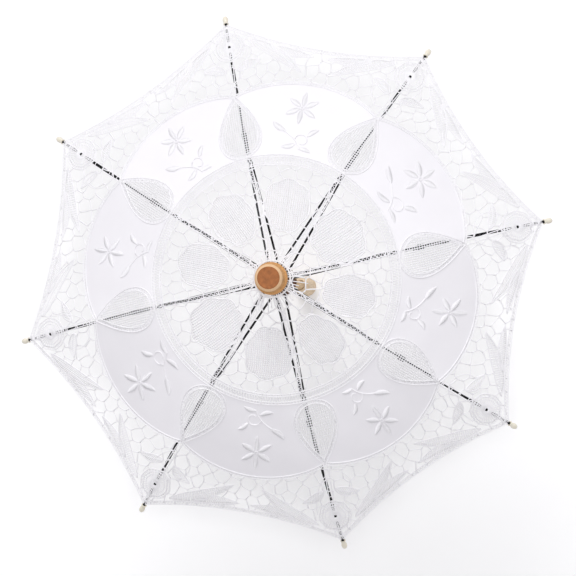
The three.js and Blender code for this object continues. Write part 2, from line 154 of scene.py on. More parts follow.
# ---- Camera, floor and light, in metres and watts -------------------------------------------
CAMERA_TILT = math.radians(5.0)              # off the shaft
CAMERA_TOWARDS = math.radians(-24.0)         # the azimuth it leans to
CAMERA_DISTANCE = 2.0
CAMERA_TARGET = Vector((0, 0, 0.33))
AIM_RIGHT, AIM_DOWN = 0.0100, 0.0071         # the object sits a little off the picture's middle
SENSOR, LENS = 36, 148.5
UP_AZIMUTH = math.radians(77.2)              # of the direction that is up in the picture
CANOPY_MIDDLE = Vector((0, 0, 0.3))
FLOOR = -0.0005
FLOOR_SIZE = 6.0
FLOOR_GLOW = 0.08
OVERHEAD_REACH = 1.2                         # times as far as the camera, on its line
OVERHEAD_SIZE, OVERHEAD_POWER = 0.45, 25
SIDE_TURN = math.radians(10)
SIDE_AWAY, SIDE_HIGH = 5.9, 5.0
SIDE_SIZE, SIDE_POWER = 3.0, 245
ROOM_COLOR = (0.985, 0.975, 1.0, 1)
ROOM_GLOW = 0.46


# ---- Camera ---------------------------------------------------------------------------------
def make_camera():
    """Almost straight down the shaft, leaning a little to one side."""
    lean = math.sin(CAMERA_TILT)
    back = Vector((lean * math.cos(CAMERA_TOWARDS), lean * math.sin(CAMERA_TOWARDS), math.cos(CAMERA_TILT)))
    up = Vector((math.cos(UP_AZIMUTH), math.sin(UP_AZIMUTH), 0))
    up = (up - back * up.dot(back)).normalized()
    right = up.cross(back)
    data = bpy.data.cameras.new("camera")
    data.sensor_width = SENSOR
    data.lens = LENS
    camera = bpy.data.objects.new("camera", data)
    bpy.context.collection.objects.link(camera)
    axes = Matrix((right, up, back)).transposed().to_4x4()
    aim = CAMERA_TARGET + right * AIM_RIGHT - up * AIM_DOWN
    camera.matrix_world = Matrix.Translation(aim + back * CAMERA_DISTANCE) @ axes
    bpy.context.scene.camera = camera


# ---- Materials ------------------------------------------------------------------------------
MIX_A, MIX_B, MIX_RESULT = 6, 7, 2           # a Mix node's colour sockets, which share their names
FACE_FROM = FERRULE[1] * MM - 0.0002         # heights that separate the ferrule's face, rim and body
RIM_FROM, RIM_TO = FACE_FROM - 0.0046, FACE_FROM - 0.0026
RIM_WEAR = 0.6
WORN_RIM = (0.86, 0.62, 0.4)


def new_material(name, color, roughness, metallic=0.0, **sockets):
    """A Principled material, and its shader, node tree and a node-adding helper."""
    material = bpy.data.materials.new(name)
    material.use_nodes = True
    tree = material.node_tree
    shader = tree.nodes["Principled BSDF"]
    shader.inputs["Base Color"].default_value = (*color, 1)
    shader.inputs["Roughness"].default_value = roughness
    shader.inputs["Metallic"].default_value = metallic
    for key, value in sockets.items():
        shader.inputs[key.replace("_", " ")].default_value = value

    def add(kind, links=(), **values):
        node = tree.nodes.new(kind)
        for key, value in values.items():
            if key in node.inputs:
                node.inputs[key].default_value = value
            else:
                setattr(node, key, value)
        for source, output, socket in links:
            tree.links.new(source.outputs[output], node.inputs[socket])
        return node

    return material, shader, tree, add


def put(tree, source, output, shader, socket):
    tree.links.new(source.outputs[output], shader.inputs[socket])


def ramp(add, source, output, stops):
    """A colour ramp over a factor, from (position, colour) stops."""
    node = add("ShaderNodeValToRGB", [(source, output, "Fac")])
    elements = node.color_ramp.elements
    for element, (position, color) in ((elements[0], stops[0]), (elements[-1], stops[-1])):
        element.position = position
        element.color = (*color, 1)
    for position, color in stops[1:-1]:
        elements.new(position).color = (*color, 1)
    return node


def scaled(color, factor):
    return tuple(min(1, factor * c) for c in color)


def cotton(name, light, shade, twist, depth):
    """Cotton thread or cloth: soft sheen, fine twist or weave, faint cool variation."""
    material, shader, tree, add = new_material(
        name, light, 0.82, Sheen_Weight=0.35, Sheen_Roughness=0.45, Specular_IOR_Level=0.25)
    where = add("ShaderNodeTexCoord")
    blotch = add("ShaderNodeTexNoise", [(where, "Object", "Vector")], Scale=55.0, Detail=3.0)
    tint = ramp(add, blotch, "Fac", [(0.35, shade), (0.65, light)])
    put(tree, tint, "Color", shader, "Base Color")
    along = add("ShaderNodeTexWave", [(where, "Object", "Vector")], bands_direction="X", Scale=twist,
                Distortion=0.6, Detail=1.0)
    across = add("ShaderNodeTexWave", [(where, "Object", "Vector")], bands_direction="Y", Scale=twist,
                 Distortion=0.6, Detail=1.0)
    weave = add("ShaderNodeMath", [(along, "Fac", 0), (across, "Fac", 1)], operation="MULTIPLY")
    bump = add("ShaderNodeBump", [(weave, "Value", "Height")], Strength=depth, Distance=0.0003)
    put(tree, bump, "Normal", shader, "Normal")
    return material


def wood(name, light, dark, end=None):
    """Turned, thinly varnished wood with grain along the shaft; end colours the ferrule's cut face."""
    material, shader, tree, add = new_material(
        name, light, 0.55, Coat_Weight=0.06, Coat_Roughness=0.4, Specular_IOR_Level=0.22)
    where = add("ShaderNodeTexCoord")
    stretch = add("ShaderNodeMapping", [(where, "Object", "Vector")])
    stretch.inputs["Scale"].default_value = (1, 1, 0.035)
    grain = add("ShaderNodeTexNoise", [(stretch, "Vector", "Vector")], Scale=800.0, Detail=5.0,
                Roughness=0.6, Distortion=0.15)
    color = ramp(add, grain, "Fac", [(0.32, dark), (0.5, light), (0.72, scaled(light, 1.18))])
    if end is None:
        put(tree, color, "Color", shader, "Base Color")
    else:
        put(tree, cut_end(add, where, color, end), MIX_RESULT, shader, "Base Color")
    bump = add("ShaderNodeBump", [(grain, "Fac", "Height")], Strength=0.25, Distance=0.0002)
    put(tree, bump, "Normal", shader, "Normal")
    return material


def cut_end(add, where, body, end):
    """The body's colour, worn pale on the rim and dark with open pores on the flat end face."""
    place = add("ShaderNodeSeparateXYZ", [(where, "Object", "Vector")])
    near_end = add("ShaderNodeMapRange", [(place, "Z", "Value")])
    for socket, value in (("From Min", RIM_FROM), ("From Max", RIM_TO), ("To Max", RIM_WEAR)):
        near_end.inputs[socket].default_value = value
    rim = add("ShaderNodeMix", [(near_end, "Result", "Factor"), (body, "Color", MIX_A)], data_type="RGBA")
    rim.inputs[MIX_B].default_value = (*WORN_RIM, 1)
    pores = add("ShaderNodeTexNoise", [(where, "Object", "Vector")], Scale=260.0, Detail=5.0, Roughness=0.65)
    cut = ramp(add, pores, "Fac", [(0.35, scaled(end, 0.8)), (0.65, scaled(end, 1.25))])
    on_face = add("ShaderNodeMath", [(place, "Z", 0)], operation="GREATER_THAN")
    on_face.inputs[1].default_value = FACE_FROM
    links = [(on_face, "Value", "Factor"), (rim, MIX_RESULT, MIX_A), (cut, "Color", MIX_B)]
    return add("ShaderNodeMix", links, data_type="RGBA")


def metal(name, color, roughness, metallic, wear):
    """Drawn or enamelled steel with fine scratches and worn patches."""
    material, shader, tree, add = new_material(name, color, roughness, metallic)
    where = add("ShaderNodeTexCoord")
    spots = add("ShaderNodeTexNoise", [(where, "Object", "Vector")], Scale=240.0, Detail=6.0, Roughness=0.7)
    tint = ramp(add, spots, "Fac", [(0.55, color), (0.78, wear)])
    put(tree, tint, "Color", shader, "Base Color")
    gloss = add("ShaderNodeMapRange", [(spots, "Fac", "Value")])
    gloss.inputs["To Min"].default_value = roughness * 0.8
    gloss.inputs["To Max"].default_value = min(1, roughness * 1.5)
    put(tree, gloss, "Result", shader, "Roughness")
    bump = add("ShaderNodeBump", [(spots, "Fac", "Height")], Strength=0.15, Distance=0.0001)
    put(tree, bump, "Normal", shader, "Normal")
    return material


def plastic(name, color, shade):
    """Smooth, slightly translucent plastic with faint cloudy variation."""
    material, shader, tree, add = new_material(name, color, 0.3, Coat_Weight=0.2, Subsurface_Weight=0.1)
    shader.inputs["Subsurface Radius"].default_value = (0.002, 0.0015, 0.001)
    where = add("ShaderNodeTexCoord")
    cloud = add("ShaderNodeTexNoise", [(where, "Object", "Vector")], Scale=160.0, Detail=2.0)
    tint = ramp(add, cloud, "Fac", [(0.3, shade), (0.7, color)])
    put(tree, tint, "Color", shader, "Base Color")
    bump = add("ShaderNodeBump", [(cloud, "Fac", "Height")], Strength=0.1, Distance=0.0002)
    put(tree, bump, "Normal", shader, "Normal")
    return material


LOOKS = {
    "thread": cotton("cotton_thread", (0.97, 0.96, 0.985), (0.93, 0.92, 0.95), 900.0, 0.3),
    "satin": cotton("satin_stitch", (0.96, 0.95, 0.975), (0.93, 0.92, 0.95), 1100.0, 0.2),
    "batiste": cotton("batiste", (0.87, 0.855, 0.89), (0.858, 0.843, 0.878), 1400.0, 0.2),
    "ferrule": wood("ferrule_wood", (0.57, 0.3, 0.115), (0.44, 0.21, 0.07), end=(0.31, 0.105, 0.028)),
    "handle": wood("handle_wood", (0.8, 0.63, 0.44), (0.68, 0.49, 0.3)),
    "shaft": wood("shaft_wood", (0.66, 0.44, 0.22), (0.5, 0.31, 0.14)),
    "stained": wood("stained_wood", (0.115, 0.045, 0.02), (0.05, 0.02, 0.01)),
    "dark_steel": metal("dark_steel", (0.02, 0.02, 0.023), 0.34, 0.85, (0.10, 0.095, 0.09)),
    "bright_steel": metal("bright_steel", (0.58, 0.58, 0.6), 0.25, 1.0, (0.42, 0.41, 0.4)),
    "cream": plastic("cream_plastic", (0.83, 0.79, 0.68), (0.77, 0.72, 0.60)),
}
SLOT_LOOKS = {"turned_wood": "ferrule", "pale_wood": "shaft", "dark_wood": "stained",
              "dark_steel": "dark_steel", "bright_steel": "bright_steel", "cream_plastic": "cream",
              "lace": "batiste"}


def dress_frame():
    """Better materials for the CAD nodes that stay in view."""
    for row in frame["record"]["subparts"]:
        node = frame["nodes"][row["node"]]
        look = LOOKS[SLOT_LOOKS[row["material_slot"]]]
        for place in node.material_slots:
            place.material = look


# ---- Meshes ---------------------------------------------------------------------------------
def make_mesh(name, points, faces, look, smooth=True):
    """An object from points in metres and faces, all quads or all triangles."""
    faces = np.asarray(faces, dtype=np.int32)
    mesh = bpy.data.meshes.new(name)
    mesh.vertices.add(len(points))
    mesh.vertices.foreach_set("co", np.asarray(points, dtype=np.float32).ravel())
    count, corners = faces.shape
    mesh.loops.add(count * corners)
    mesh.loops.foreach_set("vertex_index", faces.ravel())
    mesh.polygons.add(count)
    mesh.polygons.foreach_set("loop_start", np.arange(0, count * corners, corners, dtype=np.int32))
    mesh.polygons.foreach_set("loop_total", np.full(count, corners, dtype=np.int32))
    mesh.polygons.foreach_set("use_smooth", np.full(count, smooth, dtype=bool))
    mesh.update(calc_edges=True)
    mesh.validate()
    mesh.materials.append(LOOKS[look])
    obj = bpy.data.objects.new(name, mesh)
    bpy.context.collection.objects.link(obj)
    return obj


def turned(outline, segments):
    """Points and quads of a shape turned about Z from an open [radius, z] outline in mm."""
    outline = np.asarray(outline, float)
    angles = np.arange(segments) * 2 * math.pi / segments
    ring = np.stack([np.cos(angles), np.sin(angles)], 1)
    points = np.concatenate([
        np.column_stack([ring * max(r, 0.01), np.full(segments, z)]) for r, z in outline])
    faces = []
    for i in range(len(outline) - 1):
        for j in range(segments):
            a, b = i * segments + j, i * segments + (j + 1) % segments
            faces.append((a, b, b + segments, a + segments))
    return points, faces


def arc(centre, radius, start, end, count):
    """Outline points on an arc, angles in degrees."""
    return [(centre[0] + radius * math.cos(math.radians(t)), centre[1] + radius * math.sin(math.radians(t)))
            for t in np.linspace(start, end, count)]


# ---- The canopy's surface -------------------------------------------------------------------
def smoothstep(x, low, high):
    t = np.clip((x - low) / (high - low), 0, 1)
    return t * t * (3 - 2 * t)


def rib_height(radius):
    sine = np.sin(ROOT_SLOPE) + (radius - PIVOT_RADIUS) / RIB_ARC
    return NOTCH_Z - RIB_ARC * (np.cos(ROOT_SLOPE) - np.sqrt(1 - sine * sine))


def cloth_height(radius, angle):
    """Height of the cover's underside at a radius and an azimuth."""
    off_rib = np.abs((angle + TURN / 2) % TURN - TURN / 2)
    straight = np.cos(TURN / 2 - off_rib) / np.cos(TURN / 2)
    along = radius * (1 + GORE_TENSION * (straight - 1))
    lift = CLOTH_LIFT + CENTRE_LIFT * (1 - smoothstep(radius, CENTRE_LIFT_FROM, CENTRE_LIFT_TO))
    return rib_height(along) + lift


def drift(radius, angle):
    """How far round the shaft the cover is pulled from its pattern, as an angle."""
    place = (angle / TURN) % RIBS
    low = np.floor(place).astype(int) % RIBS
    share = (1 - np.cos(math.pi * (place - np.floor(place)))) / 2
    pull = np.asarray(COVER_DRIFT, float)
    across = pull[low] * (1 - share) + pull[(low + 1) % RIBS] * share
    window = np.sin(math.pi * np.clip((radius - DRIFT_FROM) / (DRIFT_TO - DRIFT_FROM), 0, 1))
    return across * window / np.maximum(radius, 1)


def on_cover(flat, lift):
    """Pattern points in mm, laid on the canopy at a lift above the middle of the cloth."""
    radius, angle = np.hypot(flat[:, 0], flat[:, 1]), np.arctan2(flat[:, 1], flat[:, 0])
    shift = smoothstep(radius, *SHIFT_RISE) * (1 - smoothstep(radius, *SHIFT_FALL))
    angle = angle + drift(radius, angle)
    x = radius * np.cos(angle) + CENTRE_SHIFT[0] * shift
    y = radius * np.sin(angle) + CENTRE_SHIFT[1] * shift
    radius, angle = np.hypot(x, y), np.arctan2(y, x)
    waves = np.sin(x / 9.0 + 1.7 * np.sin(y / 23.0)) * np.sin(y / 11.0 + 0.8)
    ripple = RIPPLE * waves * smoothstep(radius, 30, 90)
    return np.column_stack([x, y, cloth_height(radius, angle) + CLOTH_THICKNESS / 2 + lift + ripple])


def cover_normals(flat):
    step = 0.5
    here = on_cover(flat, 0.0)
    east = on_cover(flat + [step, 0], 0.0) - here
    north = on_cover(flat + [0, step], 0.0) - here
    normal = np.cross(east, north)
    return normal / np.linalg.norm(normal, axis=1, keepdims=True)


# ---- Threads --------------------------------------------------------------------------------
def spin(points, angle):
    c, s = math.cos(angle), math.sin(angle)
    return np.asarray(points, float) @ np.array([[c, s], [-s, c]])


def fine(points, step=STEP):
    """A path with points added so that no run is longer than step."""
    points = np.asarray(points, float)
    lengths = np.linalg.norm(np.diff(points, axis=0), axis=1)
    out = [points[:1]]
    for a, b, length in zip(points[:-1], points[1:], lengths):
        count = max(1, math.ceil(length / step))
        out.append(a + (b - a) * (np.arange(1, count + 1) / count)[:, None])
    return np.concatenate(out)


def offset(points, distance, loop):
    """A path moved sideways in the pattern's plane."""
    points = np.asarray(points, float)
    if loop:
        core = points[:-1]
        along = np.roll(core, -1, 0) - np.roll(core, 1, 0)
        along = np.vstack([along, along[:1]])
    else:
        along = np.gradient(points, axis=0)
    along = along / np.maximum(np.linalg.norm(along, axis=1, keepdims=True), 1e-9)
    return points + np.column_stack([-along[:, 1], along[:, 0]]) * distance


class Layer:
    """Threads of one kind, kept by the rib that each stretch belongs to."""

    def __init__(self, look):
        self.look = look
        self.runs = [[] for _ in range(RIBS)]

    def thread(self, path, width, depth, lift=0.0, step=STEP):
        path = fine(path, step)
        sector = np.rint(np.arctan2(path[:, 1], path[:, 0]) / TURN).astype(int) % RIBS
        start = 0
        for i in range(1, len(path)):
            if sector[i] == sector[i - 1]:
                continue
            meeting = self.crossing(path[i - 1], path[i])
            self.keep(sector[i - 1], np.vstack([path[start:i], meeting]), width, depth, lift)
            path[i - 1] = meeting
            start = i - 1
        self.keep(sector[-1], path[start:], width, depth, lift)

    @staticmethod
    def crossing(a, b):
        """Where a short run crosses the middle line between two ribs."""
        middle = (math.floor(math.atan2(*(a + b)[::-1]) / TURN) + 0.5) * TURN
        across = np.array([-math.sin(middle), math.cos(middle)])
        da, db = a @ across, b @ across
        return a + (b - a) * (0.5 if da == db else np.clip(da / (da - db), 0, 1))

    def keep(self, sector, path, width, depth, lift):
        lengths = np.linalg.norm(np.diff(path, axis=0), axis=1)
        if lengths.sum() > SHORTEST:
            distinct = np.concatenate([[True], lengths > SAME_POINT])
            self.runs[sector].append((path[distinct], width, depth, lift))

    def build(self, sector, name):
        """One mesh of closed, flattened tubes."""
        runs = self.runs[sector]
        flat = np.concatenate([r[0] for r in runs])
        sizes = np.array([len(r[0]) for r in runs])
        width, depth, lift = (np.repeat([r[k] for r in runs], sizes) for k in (1, 2, 3))
        last = np.cumsum(sizes) - 1
        first = last - sizes + 1
        points, normals = on_cover(flat, lift), cover_normals(flat)
        along = np.empty_like(points)
        along[1:-1] = points[2:] - points[:-2]
        along[first] = points[first + 1] - points[first]
        along[last] = points[last] - points[last - 1]
        along /= np.maximum(np.linalg.norm(along, axis=1, keepdims=True), 1e-9)
        side = np.cross(normals, along)
        side /= np.maximum(np.linalg.norm(side, axis=1, keepdims=True), 1e-9)
        up = np.cross(along, side)
        half, rise = side * (width / 2)[:, None], up * (depth / 2)[:, None]
        rows = np.stack([points + half, points + rise, points - half, points - rise], 1)
        count = len(points)
        start = np.setdiff1d(np.arange(count), last)
        ring = np.arange(4)
        near, far = 4 * start[:, None], 4 * start[:, None] + 4
        quads = np.stack([near + ring, near + (ring + 1) % 4, far + (ring + 1) % 4, far + ring], -1)
        caps = np.concatenate([4 * first[:, None] + ring[::-1], 4 * last[:, None] + ring])
        faces = np.concatenate([quads.reshape(-1, 4), caps])
        return make_mesh(name, rows.reshape(-1, 3) * MM, faces, self.look)


net, fill = Layer("thread"), Layer("thread")
tapes, embroidery = Layer("thread"), Layer("satin")


def closed(points):
    return np.vstack([points, points[:1]])


def tape(path, loop, half=1.3, cord=1.0, pitch=1.3):
    """Narrow lace tape: two raised cords with fine zigzag thread between them."""
    path = fine(path, TAPE_STEP)
    for side in (-half, half):
        tapes.thread(offset(path, side, loop), cord, TAPE_DEPTH, TAPE_LIFT)
    zigzag(path, loop, half, pitch, ZIGZAG_WIDTH)


def zigzag(path, loop, half, pitch, width):
    """Thread that crosses a path from side to side, with enough points that it keeps its width."""
    length = np.concatenate([[0], np.cumsum(np.linalg.norm(np.diff(path, axis=0), axis=1))])
    count = max(2, round(length[-1] / pitch))
    place = np.linspace(0, length[-1], count + 1)
    sides = [offset(path, s, loop) for s in (-half, half)]
    points = np.array([
        [np.interp(t, length, sides[k % 2][:, c]) for c in (0, 1)] for k, t in enumerate(place)])
    tapes.thread(points, width, ZIGZAG_DEPTH, step=math.hypot(2 * half, pitch) / 2.9)


def inside(outline, points):
    """Which points lie inside a closed outline."""
    x, y = points[:, 0, None], points[:, 1, None]
    x0, y0 = outline[:, 0], outline[:, 1]
    x1, y1 = np.roll(x0, -1), np.roll(y0, -1)
    run = np.where(y1 == y0, 1, y1 - y0)
    crossed = ((y0 > y) != (y1 > y)) & (x < (x1 - x0) * (y - y0) / run + x0)
    return crossed.sum(1) % 2 == 1


def spans(kept):
    """Starts and ends of the runs of True."""
    edges = np.flatnonzero(np.diff(np.concatenate([[0], kept.astype(int), [0]])))
    return zip(edges[::2], edges[1::2])


def hatch(outline, direction, pitch, thread):
    """Parallel threads across an outline, pitch apart, except where it is narrower than four samples."""
    turned_in = spin(outline, -direction)
    low, high = turned_in.min(0), turned_in.max(0)
    for y in np.arange(low[1] + pitch / 2, high[1], pitch):
        x = np.arange(low[0] - HATCH_STEP, high[0] + HATCH_STEP, HATCH_STEP)
        line = np.column_stack([x, np.full(len(x), y + rng.uniform(-HATCH_JITTER, HATCH_JITTER))])
        for a, b in spans(inside(turned_in, line)):
            if b - a > 3:
                fill.thread(spin(line[[a, b - 1]], direction), *thread)


# ---- Outlines of the motifs -----------------------------------------------------------------
def petal_outline():
    """A lobed petal, narrower towards the shaft, on the +X line."""
    t = np.linspace(0, 2 * math.pi, 85)[:-1]
    lobes = 1 + 0.09 * np.abs(np.cos(3.5 * t)) - 0.04
    x = PETAL_AT + PETAL_LONG * np.cos(t) * lobes
    y = PETAL_WIDE * np.sin(t) * (0.9 + 0.1 * np.cos(t)) * lobes
    return np.column_stack([x, y])


def drop_outline():
    """A teardrop with its point away from the shaft, on the +X line."""
    t = np.linspace(0, 2 * math.pi, 65)[:-1]
    return np.column_stack([DROP_AT + DROP_LONG * np.cos(t),
                            DROP_WIDE * np.sin(t) * np.abs(np.sin(t / 2)) ** 1.1])


def fan_outline():
    """A round, lightly scalloped medallion on the +X line."""
    t = np.linspace(0, 2 * math.pi, 49)[:-1]
    scallops = 1 + 0.05 * np.abs(np.cos(4 * t))
    return np.column_stack([FAN_AT + FAN_RADIUS * np.cos(t) * scallops, FAN_RADIUS * np.sin(t) * scallops])


def leaf_outline(start, end, width, bend):
    """A long pointed leaf between two points, bowed sideways by bend."""
    start, end = np.asarray(start, float), np.asarray(end, float)
    s = np.linspace(0, 1, 22)
    along = (end - start) / np.linalg.norm(end - start)
    across = np.array([-along[1], along[0]])
    spine = start + (end - start) * s[:, None] + across * (bend * np.sin(math.pi * s))[:, None]
    half = width / 2 * np.sin(math.pi * s ** 0.85) ** 0.8
    return np.vstack([spine + across * half[:, None], (spine - across * half[:, None])[-2:0:-1]]), spine


def hem_path(panel):
    """The hem from rib `panel` to the next, in the pattern's plane."""
    u = np.linspace(-1, 1, 61)
    across = u * CLOTH_CORNER * math.sin(TURN / 2)
    out = CLOTH_CORNER * math.cos(TURN / 2) - HEM_HOLLOW * (1 - u * u)
    return spin(np.column_stack([out, across]), (panel + 0.5) * TURN)


def hem_radius(angle):
    """Radius of the hem at azimuths from the middle of a panel."""
    flat = np.abs(angle)
    out, half = CLOTH_CORNER * math.cos(TURN / 2), CLOTH_CORNER * math.sin(TURN / 2)
    slope = np.tan(np.minimum(flat, TURN / 2))
    # out - hollow (1 - u^2) = half u / slope, solved for u
    b = half / np.maximum(slope, 1e-6)
    u = (b - np.sqrt(np.maximum(b * b - 4 * HEM_HOLLOW * (out - HEM_HOLLOW), 0))) / (2 * HEM_HOLLOW)
    u = np.where(slope < 1e-3, 0, u)
    return np.hypot(half * u, out - HEM_HOLLOW * (1 - u * u))


def scallop_radius(angle):
    """Outer edge of the batiste scallops, at azimuths from the nearest rib."""
    return SCALLOP_AT_RIB + SCALLOP_BULGE * np.sin(math.pi * np.abs(angle) / TURN) ** 0.7


PETAL, DROP, FAN = petal_outline(), drop_outline(), fan_outline()
LEAVES = [leaf_outline(*leaf) for leaf in (*LONG_LEAVES, SHORT_LEAF)]
BOTH = (1, -1)


def mirrored(points, side):
    return np.asarray(points) * [1, side]


def from_rib(points, index):
    return spin(points, index * TURN)


def from_panel(points, index):
    return spin(points, (index + 0.5) * TURN)


# ---- The cover's parts ----------------------------------------------------------------------
def in_net(points):
    """Where plain net shows: inside the ring between petals, and outside the scallops."""
    radius, angle = np.hypot(points[:, 0], points[:, 1]), np.arctan2(points[:, 1], points[:, 0])
    rib_angle = (angle + TURN / 2) % TURN - TURN / 2
    panel_angle = angle % TURN - TURN / 2
    at_rib = np.column_stack([radius * np.cos(rib_angle), radius * np.sin(rib_angle)])
    at_panel = np.column_stack([radius * np.cos(panel_angle), radius * np.abs(np.sin(panel_angle))])
    inner = (radius > NET_FROM) & (radius < RING_IN) & ~inside(PETAL, at_panel)
    outer = (radius > scallop_radius(rib_angle)) & (radius < hem_radius(panel_angle) - HEM_INSET)
    outer &= ~inside(FAN, at_rib)
    for outline, _ in LEAVES:
        outer &= ~inside(outline, at_panel)
    return inner | outer


def make_net():
    """Irregular net: the edges of cells round scattered points."""
    seeds = []
    row, y = 0, -CLOTH_CORNER - CELL
    while y < CLOTH_CORNER + CELL:
        x = -CLOTH_CORNER - CELL + (row % 2) * CELL / 2
        while x < CLOTH_CORNER + CELL:
            jitter = [rng.uniform(-CELL_JITTER, CELL_JITTER) for _ in range(2)]
            seeds.append(Vector((x + jitter[0], y + jitter[1])))
            x += CELL
        y += CELL * CELL_ROW
        row += 1
    points, _, triangles = geometry.delaunay_2d_cdt(seeds, [], [], 0, 1e-6)[:3]
    spots = np.array([p[:] for p in points])
    corners = np.array(triangles)
    a, b, c = (spots[corners[:, k]] for k in range(3))
    twice = 2 * ((b - a)[:, 0] * (c - a)[:, 1] - (b - a)[:, 1] * (c - a)[:, 0])
    bb, cc = ((b - a) ** 2).sum(1), ((c - a) ** 2).sum(1)
    centres = a + np.column_stack([
        ((c - a)[:, 1] * bb - (b - a)[:, 1] * cc) / twice,
        ((b - a)[:, 0] * cc - (c - a)[:, 0] * bb) / twice])
    beside = {}
    for index, triangle in enumerate(corners):
        for k in range(3):
            edge = tuple(sorted((triangle[k], triangle[(k + 1) % 3])))
            beside.setdefault(edge, []).append(index)
    lines = []
    for pair in beside.values():
        if len(pair) < 2:
            continue
        start, end = centres[pair[0]], centres[pair[1]]
        length = np.linalg.norm(end - start)
        if not EDGE_FROM < length < 3 * CELL:
            continue
        s = np.linspace(0, 1, max(3, math.ceil(length / EDGE_STEP)))[:, None]
        across = np.array([-(end - start)[1], (end - start)[0]]) / length
        bow = np.sin(math.pi * s) * rng.uniform(-NET_BOW, NET_BOW)
        lines.append(start + (end - start) * s + across * bow)
    ends = np.cumsum([len(line) for line in lines])
    for line, kept in zip(lines, np.split(in_net(np.concatenate(lines)), ends[:-1])):
        for first, stop in spans(kept):
            piece = line[max(0, first - 1):stop + 1]
            if len(piece) > 1:
                net.thread(piece, *NET_THREAD)


def motif(outline, place, index, outline_tape=True, half=1.3):
    """A motif's edge: lace tape, or a single cord."""
    path = closed(place(outline, index))
    if outline_tape:
        tape(path, True, half)
    else:
        tapes.thread(path, *MOTIF_CORD)


def mesh_fill(outline, place, index, pitch, width, cross=1.0):
    """Two sets of threads, one over the other, as in a darned motif."""
    around = math.atan2(*place(np.array([[1.0, 0.0]]), index)[0][::-1])
    shape = place(outline, index)
    hatch(shape, around, pitch, (width, DARN_DEPTH, DARN_LIFT))
    hatch(shape, around + math.pi / 2, pitch * cross, (width, DARN_DEPTH, -DARN_LIFT))


def make_centre():
    """Petals, loose tape along the ribs, the ring, and the net's gathers round the shaft."""
    for k in range(RIBS):
        motif(PETAL, from_panel, k, outline_tape=False)
        mesh_fill(PETAL, from_panel, k, PETAL_PITCH, PETAL_DARN)
        x = np.linspace(NET_FROM, RING_IN, 24)
        beside = np.column_stack([x, -x * drift(x, np.full(len(x), k * TURN))])
        tape(from_rib(beside, k), False, half=1.5, cord=0.95, pitch=1.9)
    circle = np.linspace(0, 2 * math.pi, 241)
    ring = np.column_stack([np.cos(circle), np.sin(circle)])
    tape(ring * RING_IN, True, half=0.9, cord=0.9)
    tape(ring * RING_OUT, True, half=1.1)
    middle, half = (RING_IN + RING_OUT) / 2, (RING_OUT - RING_IN) / 2
    zigzag(ring * middle, True, half - 0.8, pitch=1.15, width=0.8)
    tapes.thread(ring * NET_FROM, *NECK_CORD)
    for k in range(GATHERS):
        angle = (k + rng.uniform(-0.25, 0.25)) * 2 * math.pi / GATHERS
        gather = [(GATHER_FROM, 0), (NET_FROM + rng.uniform(5, 13), 0)]
        net.thread(spin(gather, angle), *GATHER_THREAD)


def make_drops():
    """Teardrops between the scallops, darned, with a second outline inside."""
    for k in range(RIBS):
        motif(DROP, from_rib, k, half=1.6)
        mesh_fill(DROP, from_rib, k, DROP_PITCH, DROP_DARN, cross=1.1)
        inner = DROP_AT + (DROP - [DROP_AT, 0]) * 0.8
        tapes.thread(closed(from_rib(inner, k)), *DROP_CORD)


def bind_rib(k):
    """Cords on both sides of the rib past the batiste, and the stitches that tie the cover to it."""
    start = SCALLOP_AT_RIB + 1
    for side in BOTH:
        cord = [(start, 1.7 * side), (TIED_FROM, 1.7 * side), (CLOTH_CORNER - 3, 1.2 * side)]
        tapes.thread(from_rib(cord, k), *RIB_CORD)
    loose = np.arange(start + 4, TIED_FROM - 2, LOOSE_TIE_PITCH)
    for x in (*loose, *np.arange(TIED_FROM, CLOTH_CORNER - 3.5, TIE_PITCH)):
        lean = rng.uniform(-0.3, 0.3)
        net.thread(from_rib([(x - lean, -1.9), (x, 0), (x + lean, 1.9)], k), *TIE_THREAD, step=1.0)


def make_outer():
    """Scallop edges, fans at the tips, leaves, and the hem."""
    for k in range(RIBS):
        angle = np.linspace(-TURN / 2, TURN / 2, 61)
        radius = scallop_radius(TURN / 2 - np.abs(angle))
        scallop = np.column_stack([radius * np.cos(angle), radius * np.sin(angle)])
        tape(from_panel(scallop, k), False, half=1.1)
        make_fan(k)
        bind_rib(k)
        for side in BOTH:
            for outline, spine in LEAVES:
                make_leaf(mirrored(outline, side), mirrored(spine, side), k)
        path = fine(hem_path(k), TAPE_STEP)
        hem = path * (1 - HEM_INSET / np.linalg.norm(path, axis=1, keepdims=True))
        tape(hem, False, half=1.5, cord=1.2)


def make_fan(k):
    """The medallion at a rib's tip: taped edge, spokes and two inner rounds."""
    motif(FAN, from_rib, k)
    for t in np.linspace(0, 2 * math.pi, FAN_SPOKES + 1)[:-1]:
        spoke = [(FAN_AT + reach * math.cos(t), reach * math.sin(t)) for reach in (1.5, FAN_RADIUS)]
        fill.thread(from_rib(spoke, k), *FAN_SPOKE)
    for size in FAN_ROUNDS:
        inner = [FAN_AT, 0] + (FAN - [FAN_AT, 0]) * size
        fill.thread(closed(from_rib(inner, k)), *FAN_RING)


def make_leaf(outline, spine, k):
    """A leaf with a corded edge, slanting fill and a vein."""
    motif(outline, from_panel, k, outline_tape=False)
    vein = from_panel(spine, k)
    end = vein[-1] - vein[0]
    hatch(from_panel(outline, k), math.atan2(end[1], end[0]) + LEAF_SLANT, LEAF_PITCH, LEAF_FILL)
    fill.thread(vein, *LEAF_VEIN)


